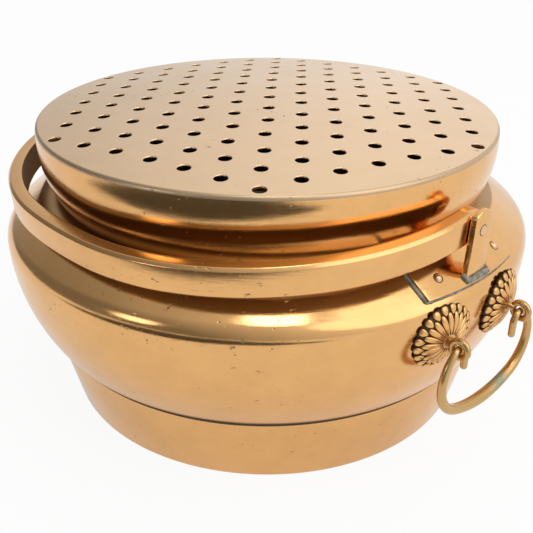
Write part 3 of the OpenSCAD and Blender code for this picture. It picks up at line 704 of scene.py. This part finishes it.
class WARMER_OT_bail(Operator):
    """Bends the bail's strap round from one pivot to the other"""

    bl_idname = "warmer.bail"
    bl_label = "Bail"

    def execute(self, context):
        w = body_of_warmer(context)
        s, mat = w.bail, finishes(context)
        half = s.width / 2
        inner, outer = w.bail_x - s.thickness, w.bail_x
        clean = inner + 0.0015
        section = rounded([(inner, -half, 0.0005), (clean, -half, 0), (outer - s.bevel, -half, 0.0006),
                           (outer, s.bevel - half, 0.0006), (outer, half - s.bevel, 0.0006),
                           (outer - s.bevel, half, 0.0006), (clean, half, 0), (inner, half, 0.0005)], 3)
        bm = bmesh.new()
        layer = bm.verts.layers.float.new("shade_and_grime")
        start = bm.faces.new([bm.verts.new((x, 0, z)) for x, z in section])
        for vert in start.verts:
            # Painted shade on the strap's inner face and underside.
            vert[layer] = 0.85 if vert.co.x < inner + 0.0004 or vert.co.z < 0.0002 - half else 0
        run = [start] + start.verts[:] + start.edges[:]
        bend = math.pi / 2 - w.mid_half
        straight = Vector((0, -s.shift, 0))
        run = self.push(bm, run, straight)
        run = self.swing(bm, run, (s.shift, -s.shift, 0), -bend, 72)
        run = self.swing(bm, run, (0, w.mid_cy, 0), -2 * w.mid_half, 14)
        run = self.swing(bm, run, (-s.shift, -s.shift, 0), -bend, 72)
        self.push(bm, run, -straight)
        bmesh.ops.recalc_face_normals(bm, faces=bm.faces)
        for side in (-1, 1):
            end = bmesh.new()
            bmesh.ops.create_cone(end, cap_ends=True, segments=64, radius1=s.end_r, radius2=s.end_r,
                                  depth=s.thickness - 0.0001)
            soften(end, 0.0005)
            place = Matrix.Translation((side * (w.bail_x - s.thickness / 2), 0, 0)) @ Matrix.Rotation(math.pi / 2, 4, "Y")
            join(bm, end, place)
            end.free()
        hang = Matrix.Translation((0, 0, w.pivot_z)) @ Matrix.Rotation(w.droop, 4, "X")
        bmesh.ops.transform(bm, matrix=hang, verts=bm.verts)
        make_piece(context, bm, "bail_strap", mat.bail, "bail", ["bail"])
        return {"FINISHED"}

    @staticmethod
    def push(bm, run, vec):
        """Extrudes the strap's end face straight on and returns the new end."""
        face = [g for g in run if isinstance(g, bmesh.types.BMFace)]
        made = bmesh.ops.extrude_face_region(bm, geom=face)["geom"]
        bmesh.ops.translate(bm, vec=vec, verts=[g for g in made if isinstance(g, bmesh.types.BMVert)])
        if face[0].is_valid:
            bmesh.ops.delete(bm, geom=face, context="FACES_ONLY")
        return made

    @staticmethod
    def swing(bm, run, centre, angle, steps):
        """Spins the strap's end face round a centre and returns the new end."""
        face = [g for g in run if isinstance(g, bmesh.types.BMFace)]
        edges = [e for f in face for e in f.edges]
        verts = [v for f in face for v in f.verts]
        made = bmesh.ops.spin(bm, geom=face + edges + verts, cent=centre, axis=(0, 0, 1), angle=angle, steps=steps,
                              use_merge=False)["geom_last"]
        if face[0].is_valid:
            bmesh.ops.delete(bm, geom=face, context="FACES_ONLY")
        return made


class WARMER_OT_lugs(Operator):
    """Cuts the lugs, bends their plates over the shoulder and sets the rivets"""

    bl_idname = "warmer.lugs"
    bl_label = "Lugs and rivets"

    def execute(self, context):
        w = body_of_warmer(context)
        for side in ("right", "left"):
            self.plate(context, w, side)
            self.lug(context, w, side)
            self.rivets(context, w, side)
        return {"FINISHED"}

    def plate(self, context, w, side):
        s, b = w.bail, w.body
        points = arc(w.turn_x, b.belly_z, b.shoulder_arc, math.asin(s.plate_low / b.shoulder_arc), w.turn_a, 8)
        points.append((s.plate_top_r, shoulder_z(w, s.plate_top_r)))
        bm = bmesh.new()
        verts = [bm.verts.new((x, 0, z)) for x, z in points]
        edges = [bm.edges.new(pair) for pair in zip(verts, verts[1:])]
        bmesh.ops.subdivide_edges(bm, edges=edges[-1:], cuts=6)
        spread = math.asin(s.plate_half_w / s.plate_top_r) + 0.02
        bmesh.ops.rotate(bm, cent=(0, 0, 0), matrix=Matrix.Rotation(-spread, 3, "Z"), verts=bm.verts)
        bmesh.ops.spin(bm, geom=bm.verts[:] + bm.edges[:], cent=(0, 0, 0), axis=(0, 0, 1), angle=2 * spread, steps=40)
        edge = b.belly_r + s.plate_t
        corner = Vector((edge - 2 * s.plate_corner, s.plate_half_w, 0))
        slant = Vector((s.plate_corner, 2 * s.plate_corner, 0)).normalized()
        for sign in (-1, 1):
            mirror = Vector((1, sign, 1))
            for point, normal in ((corner, Vector((0, 1, 0))), (corner, slant)):
                bmesh.ops.bisect_plane(bm, geom=bm.verts[:] + bm.edges[:] + bm.faces[:], plane_co=point * mirror,
                                       plane_no=normal * mirror, clear_outer=True)
        bmesh.ops.recalc_face_normals(bm, faces=bm.faces)
        if sum((f.normal.z for f in bm.faces)) < 0:
            bmesh.ops.reverse_faces(bm, faces=bm.faces)
        bmesh.ops.solidify(bm, geom=bm.faces[:], thickness=-s.plate_t)
        bmesh.ops.recalc_face_normals(bm, faces=bm.faces)
        soften(bm, 0.00035, 2, 60)
        bmesh.ops.transform(bm, matrix=on_side(side), verts=bm.verts)
        make_piece(context, bm, "shoulder_plate_" + side, finishes(context).bowl, "bowl", ["lug_plate_" + side])
        self.solder(context, w, side, points)

    def solder(self, context, w, side, profile):
        """Beads of old solder round the plate and along the lug's foot."""
        s = w.bail
        rng = random.Random(side)
        half = s.plate_half_w + s.bead_r * 0.4
        low_r, low_z = profile[0]
        slant = half - s.plate_corner * 0.8
        edge = [Vector((math.sqrt(r * r - half * half), half, z)) for r, z in profile[::-1]]
        low = [Vector((math.sqrt(low_r ** 2 - y * y), y, low_z)) for y in (slant * (1 - i / 12) for i in range(13))]
        edge = edge[:-3] + low
        edge += [Vector((p.x, -p.y, p.z)) for p in edge[-2::-1]]
        spots = spaced(edge, s.bead_r)
        thin = [0.85 if abs(p.y) > slant else 0.65 for p in spots]
        bm = sweep([(p, s.bead_r * t * rng.uniform(0.88, 1.12)) for p, t in zip(spots, thin)], 10)
        outer = w.lug_x + s.lug_t
        reach = s.lug_foot_w / 2 - 0.0006
        foot = [(w.lug_x + 0.0005, -reach), (outer, -reach), (outer, reach), (w.lug_x + 0.0005, reach)]
        foot = [Vector((x, y, shoulder_z(w, x) + s.plate_t * 1.05)) for x, y in foot]
        fillet = sweep([(p, s.bead_r * rng.uniform(1.35, 1.5)) for p in spaced(foot, s.bead_r)], 12)
        join(bm, fillet)
        fillet.free()
        bmesh.ops.transform(bm, matrix=on_side(side), verts=bm.verts)
        make_piece(context, bm, "plate_solder_" + side, finishes(context).solder, "bowl", None)

    def lug(self, context, w, side):
        s, b = w.bail, w.body
        top = w.pivot_z + s.lug_rise
        low = shoulder_z(w, w.lug_x + s.lug_t) - 0.002
        lean = (s.lug_foot_w - s.lug_top_w) / 2 / (top - b.belly_z)
        cap_z = top - s.lug_top_r
        reach = s.lug_top_w / 2
        cap_a = math.acos(reach / s.lug_top_r)
        points = [(-(s.lug_foot_w / 2 - lean * (low - b.belly_z)), low), (s.lug_foot_w / 2 - lean * (low - b.belly_z), low)]
        points += arc(0, cap_z, s.lug_top_r, cap_a, math.pi - cap_a, 14)
        bm = bmesh.new()
        face = bm.faces.new([bm.verts.new((w.lug_x, y, z)) for y, z in points])
        made = bmesh.ops.extrude_face_region(bm, geom=[face])["geom"]
        bmesh.ops.translate(bm, vec=(s.lug_t, 0, 0), verts=[g for g in made if isinstance(g, bmesh.types.BMVert)])
        bmesh.ops.recalc_face_normals(bm, faces=bm.faces)
        slope = Vector((math.sin(b.shoulder_slope), 0, math.cos(b.shoulder_slope)))
        seat = Vector((w.lug_x, 0, shoulder_z(w, w.lug_x))) + slope * s.plate_t
        bmesh.ops.bisect_plane(bm, geom=bm.verts[:] + bm.edges[:] + bm.faces[:], plane_co=seat, plane_no=slope,
                               clear_inner=True)
        soften(bm, 0.0007, 3, 30)
        bmesh.ops.transform(bm, matrix=on_side(side), verts=bm.verts)
        make_piece(context, bm, "lug_tab_" + side, finishes(context).bail, "bowl", ["lug_" + side])

    def rivets(self, context, w, side):
        s, b = w.bail, w.body
        mat = finishes(context).rivet
        ring = 0.00025
        head_x = w.bail_x - s.thickness - s.side_gap
        end_x = w.lug_x + s.lug_t
        pin = [(0, head_x - s.pivot_head_t, 0), (s.pivot_head_d / 2, head_x - s.pivot_head_t, 0.0006),
               (s.pivot_head_d / 2, head_x, 0.0002), (s.pivot_d / 2, head_x, 0), (s.pivot_d / 2, end_x, 0),
               (s.pivot_d / 2 + ring, end_x, 0), (s.pivot_d / 2 + ring, end_x + 0.00004, 0),
               (s.pivot_d / 2, end_x + 0.00005, 0), (s.pivot_d / 2, end_x + 0.0002, 0.0001), (0, end_x + 0.00025, 0)]
        pin = rounded(pin, 4)
        # Painted shade in a thin ring where the pin meets the lug.
        bm = lathe(pin, 48, False, [1 if end_x - 0.0001 < z < end_x + 0.0001 else 0 for x, z in pin])
        bmesh.ops.transform(bm, matrix=on_side(side) @ Matrix.Translation((0, 0, w.pivot_z))
                            @ Matrix.Rotation(math.pi / 2, 4, "Y"), verts=bm.verts)
        make_piece(context, bm, "pivot_pin_" + side, mat, "bowl", ["pivot_rivet_" + side])
        head = s.rivet_head_d / 2
        dome_r = (head ** 2 + s.rivet_dome ** 2) / (2 * s.rivet_dome)
        dome_a = math.asin(head / dome_r)
        outline = arc(0, s.plate_t + s.rivet_dome - dome_r, dome_r, math.pi / 2, math.pi / 2 - dome_a, 8)
        # Painted shade in a thin ring round each rivet head's foot.
        dirt_and_shade = [0] * len(outline) + [1] * 3 + [0] * 4
        outline += [(head, s.plate_t + 0.00006), (head + ring, s.plate_t + 0.00004), (s.rivet_d / 2, s.plate_t),
                    (s.rivet_d / 2, -b.wall), (head, -b.wall), (head, -b.wall - 0.0008), (0, -b.wall - 0.0008)]
        rivet = lathe(outline, 32, False, dirt_and_shade)
        bm = bmesh.new()
        for turn in (-w.rivet_turn, w.rivet_turn):
            join(bm, rivet, on_side(side) @ Matrix.Rotation(turn + w.rivet_offset, 4, "Z")
                 @ Matrix.Translation((s.rivet_r, 0, shoulder_z(w, s.rivet_r)))
                 @ Matrix.Rotation(b.shoulder_slope, 4, "Y"))
        rivet.free()
        make_piece(context, bm, "plate_pins_" + side, mat, "bowl", ["plate_rivets_" + side])


class WARMER_OT_rosettes(Operator):
    """Chases the chrysanthemum rosettes petal by petal"""

    bl_idname = "warmer.rosettes"
    bl_label = "Rosettes"

    def execute(self, context):
        w = body_of_warmer(context)
        for side in ("right", "left"):
            for place, sign in (("front", -1), ("back", 1)):
                turn = w.rosette_turn * sign * (1 if side == "right" else -1)
                bm = self.rosette(w, side + place)
                bmesh.ops.transform(bm, matrix=on_side(side) @ on_rosette(w, turn), verts=bm.verts)
                name = "_".join((side, place))
                make_piece(context, bm, "chrysanthemum_" + name, finishes(context).cast, "bowl", ["rosette_" + name])
        return {"FINISHED"}

    def rosette(self, w, seed):
        """One rosette round its own axis, with the relief kept as an attribute."""
        d = w.drops
        rng = random.Random(seed)
        mm = 0.001
        disc = [(d.shank_d / 2, 0.06 * mm), (d.shank_d / 2, 0.9 * mm), (2.4 * mm, 1.1 * mm), (3.0 * mm, 1.0 * mm),
                (3.3 * mm, 0.8 * mm), (7 * mm, 0.7 * mm), (11 * mm, 0.6 * mm), (12.9 * mm, 0.5 * mm),
                (13.1 * mm, 0.06 * mm), (7 * mm, 0.05 * mm)]
        bm = lathe(disc, 96)
        for i in range(d.petals):
            angle = math.tau * i / d.petals
            self.petal(bm, angle, 2.9 * mm, 11.4 * mm, 1.72 * mm, 0.95 * mm, 0.95 * mm, rng)
            self.petal(bm, angle + math.pi / d.petals, 10.2 * mm, 13.95 * mm, 2.25 * mm, 1.1 * mm, 0.65 * mm, rng)
        layer = bm.verts.layers.float.new("relief")
        for vert in bm.verts:
            vert[layer] = min(1, max(0, (vert.co.z / mm - 0.55) / 1.5))
            if vert.co.z > 0.1 * mm:
                vert.co.z += d.dome * max(0, 1 - vert.co.xy.length_squared / d.rosette_r ** 2)
            vert.co.z += self.drop(w, vert.co)
        return bm

    @staticmethod
    def petal(bm, angle, root, tip, width, height, base, rng):
        """Long domed petal, narrow at its root and round at its tip, with a groove along it."""
        petal = bmesh.new()
        bmesh.ops.create_uvsphere(petal, u_segments=16, v_segments=10, radius=1)
        long = (tip - root) / 2
        for vert in petal.verts:
            x, y, z = vert.co
            taper = 0.62 + 0.38 * x
            groove = 0.16 * math.exp(-(y / 0.28) ** 2) * max(0, z)
            vert.co = (x, y * taper, z * (0.75 + 0.25 * x) - groove)
        bmesh.ops.scale(petal, vec=(long, width, height), verts=petal.verts)
        bmesh.ops.rotate(petal, cent=(0, 0, 0), matrix=Matrix.Rotation(rng.uniform(-0.05, 0.05), 3, "X"), verts=petal.verts)
        join(bm, petal, Matrix.Rotation(angle + rng.uniform(-0.01, 0.01), 4, "Z")
             @ Matrix.Translation(((root + tip) / 2, 0, base)))
        petal.free()

    @staticmethod
    def drop(w, spot):
        """How far the belly falls away under a point of the rosette."""
        curve = w.rosette_rad / math.cos(w.rosette_tilt)
        arc_r = w.body.belly_arc
        return (math.sqrt(arc_r ** 2 - spot.x ** 2) - arc_r) + (math.sqrt(curve ** 2 - spot.y ** 2) - curve)


class WARMER_OT_drop_rings(Operator):
    """Bends the drop rings and turns their eyelets"""

    bl_idname = "warmer.drop_rings"
    bl_label = "Drop rings and eyelets"

    def execute(self, context):
        w = body_of_warmer(context)
        mat = finishes(context)
        for side in ("right", "left"):
            for place, sign in (("front", -1), ("back", 1)):
                self.eyelet(context, w, mat.rod, side, place, sign * (1 if side == "right" else -1))
            self.ring(context, w, mat.rod, side)
        return {"FINISHED"}

    def eyelet(self, context, w, mat, side, place, sign):
        d, wall = w.drops, w.body.wall
        neck = d.reach - w.loop_r + d.loop_t / 3
        foot = -wall - 0.0001
        shank = [(0, foot - d.clinch_t, 0), (d.clinch_d / 2, foot - d.clinch_t, 0.0004), (d.clinch_d / 2, foot, 0.0003),
                 (d.shank_d / 2, foot, 0), (d.shank_d / 2, neck, 0.0004), (0, neck, 0)]
        bm = lathe(rounded(shank, 4), 32, False)
        bmesh.ops.transform(bm, matrix=on_rosette(w, sign * w.rosette_turn), verts=bm.verts)
        loop = lathe(arc(w.loop_r, 0, d.loop_t / 2, 0, math.tau, 16)[:-1], 48)
        spot = Vector((w.eye.x, sign * w.eye.y, w.eye.z))
        join(bm, loop, Matrix.Rotation(w.handle_turn, 4, "Z") @ Matrix.Translation(spot)
             @ Matrix.Rotation(math.pi / 2, 4, "X"))
        loop.free()
        bmesh.ops.transform(bm, matrix=on_side(side), verts=bm.verts)
        make_piece(context, bm, "eye_loop_" + side + "_" + place, mat, "bowl", ["eyelet_" + side + "_" + place])

    def ring(self, context, w, mat, side):
        d = w.drops
        hook_z = w.eye.z - d.hook_r
        rise = math.sqrt((d.side_r - d.hook_r) ** 2 - (w.eye.y - d.spread) ** 2)
        start = math.atan2(rise, w.eye.y - d.spread)
        low = math.asin(d.spread / (d.low_r - d.side_r))
        low_z = hook_z - rise + (d.low_r - d.side_r) * math.cos(low)
        tip_r, mid_r = d.tip_d / 2, d.ring_d / 2
        path = [(w.eye.y - d.hook_r, hook_z - d.tip_l + 0.0011 * k, tip_r * size)
                for k, size in ((0, 0.45), (0.25, 0.8), (0.7, 0.97), (1.4, 1))]
        path += [(y, z, tip_r) for y, z in arc(w.eye.y, hook_z, d.hook_r, math.pi, start, 20)]
        main = arc(d.spread, hook_z - rise, d.side_r, start, low - math.pi / 2, 32)[1:]
        main += arc(0, low_z, d.low_r, low - math.pi / 2, -math.pi / 2, 12)[1:]
        path += [(y, z, tip_r + (mid_r - tip_r) * (i + 1) / len(main)) for i, (y, z) in enumerate(main)]
        path += [(-y, z, r) for y, z, r in path[-2::-1]]
        bm = sweep([(Vector((w.eye.x, y, z)), r) for y, z, r in path])
        bmesh.ops.transform(bm, matrix=on_side(side) @ Matrix.Rotation(w.handle_turn, 4, "Z"), verts=bm.verts)
        make_piece(context, bm, "drop_rod_" + side, mat, "drop_ring_" + side, ["drop_ring_" + side])


class WARMER_OT_stage(Operator):
    """Sets up the floor, the soft lights and the camera"""

    bl_idname = "warmer.stage"
    bl_label = "Stage"

    def execute(self, context):
        scene = context.scene
        scene.view_settings.view_transform = "Standard"
        self.floor(context)
        self.world(scene)
        self.lamp(context, "key_light", (1.4, 0.3, 1.3), (0, 0, 0.06), 1.8, 7)
        self.lamp(context, "top_light", (0.45, -0.33, 1.7), (0, 0, 0.06), 0.5, 2.5)
        self.lamp(context, "window_light", (-0.1, -1.15, 0.5), (0, 0, 0.08), 0.35, 0.8)
        self.card(context)
        self.camera(context)
        return {"FINISHED"}

    def floor(self, context):
        mat = bpy.data.materials.new("floor_white")
        mat.use_nodes = True
        tree = mat.node_tree
        tree.nodes.clear()
        out = tree.nodes.new("ShaderNodeOutputMaterial")
        matt = node(tree, "ShaderNodeBsdfDiffuse", Color=(*context.scene.warmer_finish.floor, 1))
        glow = node(tree, "ShaderNodeEmission", Color=(1, 1, 1, 1), Strength=1)
        path = tree.nodes.new("ShaderNodeLightPath")
        seen = math_node(tree, "MAXIMUM", path.outputs["Is Glossy Ray"], path.outputs["Is Transmission Ray"])
        seen = math_node(tree, "MULTIPLY", seen, 0.5)
        seen = math_node(tree, "MAXIMUM", seen, math_node(tree, "MULTIPLY", path.outputs["Is Camera Ray"], 0.92))
        mix = tree.nodes.new("ShaderNodeMixShader")
        tree.links.new(seen, mix.inputs["Fac"])
        tree.links.new(matt.outputs["BSDF"], mix.inputs[1])
        tree.links.new(glow.outputs["Emission"], mix.inputs[2])
        tree.links.new(mix.outputs["Shader"], out.inputs["Surface"])
        self.plane(context, "floor", 6, Matrix(), mat)

    def plane(self, context, name, size, place, material):
        """Flat piece of the stage."""
        bm = bmesh.new()
        bmesh.ops.create_grid(bm, x_segments=1, y_segments=1, size=size)
        bmesh.ops.transform(bm, matrix=place, verts=bm.verts)
        mesh = bpy.data.meshes.new(name)
        bm.to_mesh(mesh)
        bm.free()
        mesh.materials.append(material)
        obj = bpy.data.objects.new(name, mesh)
        context.collection.objects.link(obj)
        return obj

    def world(self, scene):
        world = bpy.data.worlds.new("studio")
        scene.world = world
        world.use_nodes = True
        tree = world.node_tree
        sky = tree.nodes["Background"]
        sky.inputs["Color"].default_value = (1, 1, 1, 1)
        toward = tree.nodes.new("ShaderNodeVectorMath")
        toward.operation = "DOT_PRODUCT"
        toward.inputs[1].default_value = (0.45, 0.85, 0.35)
        tree.links.new(tree.nodes.new("ShaderNodeTexCoord").outputs["Generated"], toward.inputs[0])
        light = ramp(tree, toward.outputs["Value"], -0.6, 0.5, 0.22, 0.95)
        seen = tree.nodes.new("ShaderNodeLightPath").outputs["Is Camera Ray"]
        tree.links.new(math_node(tree, "MAXIMUM", light, seen), sky.inputs["Strength"])

    def card(self, context):
        """Dark card on the floor beside the camera, out of its view, that gives the polished lid side its depth."""
        mat = bpy.data.materials.new("card_grey")
        mat.use_nodes = True
        shader = mat.node_tree.nodes["Principled BSDF"]
        shader.inputs["Base Color"].default_value = (0.06, 0.06, 0.06, 1)
        shader.inputs["Roughness"].default_value = 0.9
        place = Matrix.Rotation(math.radians(-72), 4, "Z") @ Matrix.Translation((0.77, 0, 0.004))
        obj = self.plane(context, "card", 0.5, place @ Matrix.Diagonal((1, 0.72, 1, 1)), mat)
        obj.visible_camera = obj.visible_diffuse = obj.visible_shadow = False

    def lamp(self, context, name, place, target, size, power):
        light = bpy.data.lights.new(name, "AREA")
        light.shape = "DISK"
        light.size = size
        light.energy = power
        obj = bpy.data.objects.new(name, light)
        obj.location = place
        obj.rotation_euler = (Vector(target) - Vector(place)).to_track_quat("-Z", "Y").to_euler()
        context.collection.objects.link(obj)

    def camera(self, context):
        data = bpy.data.cameras.new("camera")
        data.sensor_width = 36
        data.lens = 760 * 36 / 533
        obj = bpy.data.objects.new("camera", data)
        azimuth, elevation, roll = math.radians(46.5), math.radians(28.14), math.radians(0.258)
        side = Vector((math.cos(azimuth), math.sin(azimuth), 0))
        back = Vector((math.sin(azimuth) * math.cos(elevation), -math.cos(azimuth) * math.cos(elevation),
                       math.sin(elevation)))
        place = side * -0.00008 + Vector((0, 0, 0.0471)) + back * 0.37875
        up = back.cross(side)
        right = side * math.cos(roll) + up * math.sin(roll)
        up = up * math.cos(roll) - side * math.sin(roll)
        turn = Matrix((right, up, back)).transposed().to_4x4()
        obj.matrix_world = Matrix.Translation(place) @ turn
        data.clip_start = 0.01
        context.collection.objects.link(obj)
        context.scene.camera = obj


class WARMER_PT_panel(Panel):
    """Lists the warmer's operators"""

    bl_idname = "WARMER_PT_panel"
    bl_label = "Hand Warmer"
    bl_space_type = "VIEW_3D"
    bl_region_type = "UI"
    bl_category = "Warmer"

    def draw(self, context):
        for operator in OPERATORS:
            self.layout.operator(operator.bl_idname)


GROUPS = {
    "warmer_body": WarmerBody,
    "warmer_lid": WarmerLid,
    "warmer_bail": WarmerBail,
    "warmer_drops": WarmerDrops,
    "warmer_finish": WarmerFinish,
}
OPERATORS = (
    WARMER_OT_bowl,
    WARMER_OT_foot,
    WARMER_OT_lid_top,
    WARMER_OT_lid_side,
    WARMER_OT_bail,
    WARMER_OT_lugs,
    WARMER_OT_rosettes,
    WARMER_OT_drop_rings,
    WARMER_OT_stage,
)
CLASSES = (*GROUPS.values(), *OPERATORS, WARMER_PT_panel)


def register():
    for cls in CLASSES:
        bpy.utils.register_class(cls)
    for name, group in GROUPS.items():
        setattr(bpy.types.Scene, name, PointerProperty(type=group))


def unregister():
    for name in GROUPS:
        delattr(bpy.types.Scene, name)
    for cls in reversed(CLASSES):
        bpy.utils.unregister_class(cls)


def main():
    register()
    bpy.ops.warmer.bowl()
    bpy.ops.warmer.foot()
    bpy.ops.warmer.lid_top()
    bpy.ops.warmer.lid_side()
    bpy.ops.warmer.bail()
    bpy.ops.warmer.lugs()
    bpy.ops.warmer.rosettes()
    bpy.ops.warmer.drop_rings()
    bpy.ops.warmer.stage()
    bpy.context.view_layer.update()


if __name__ == "__main__":
    main()
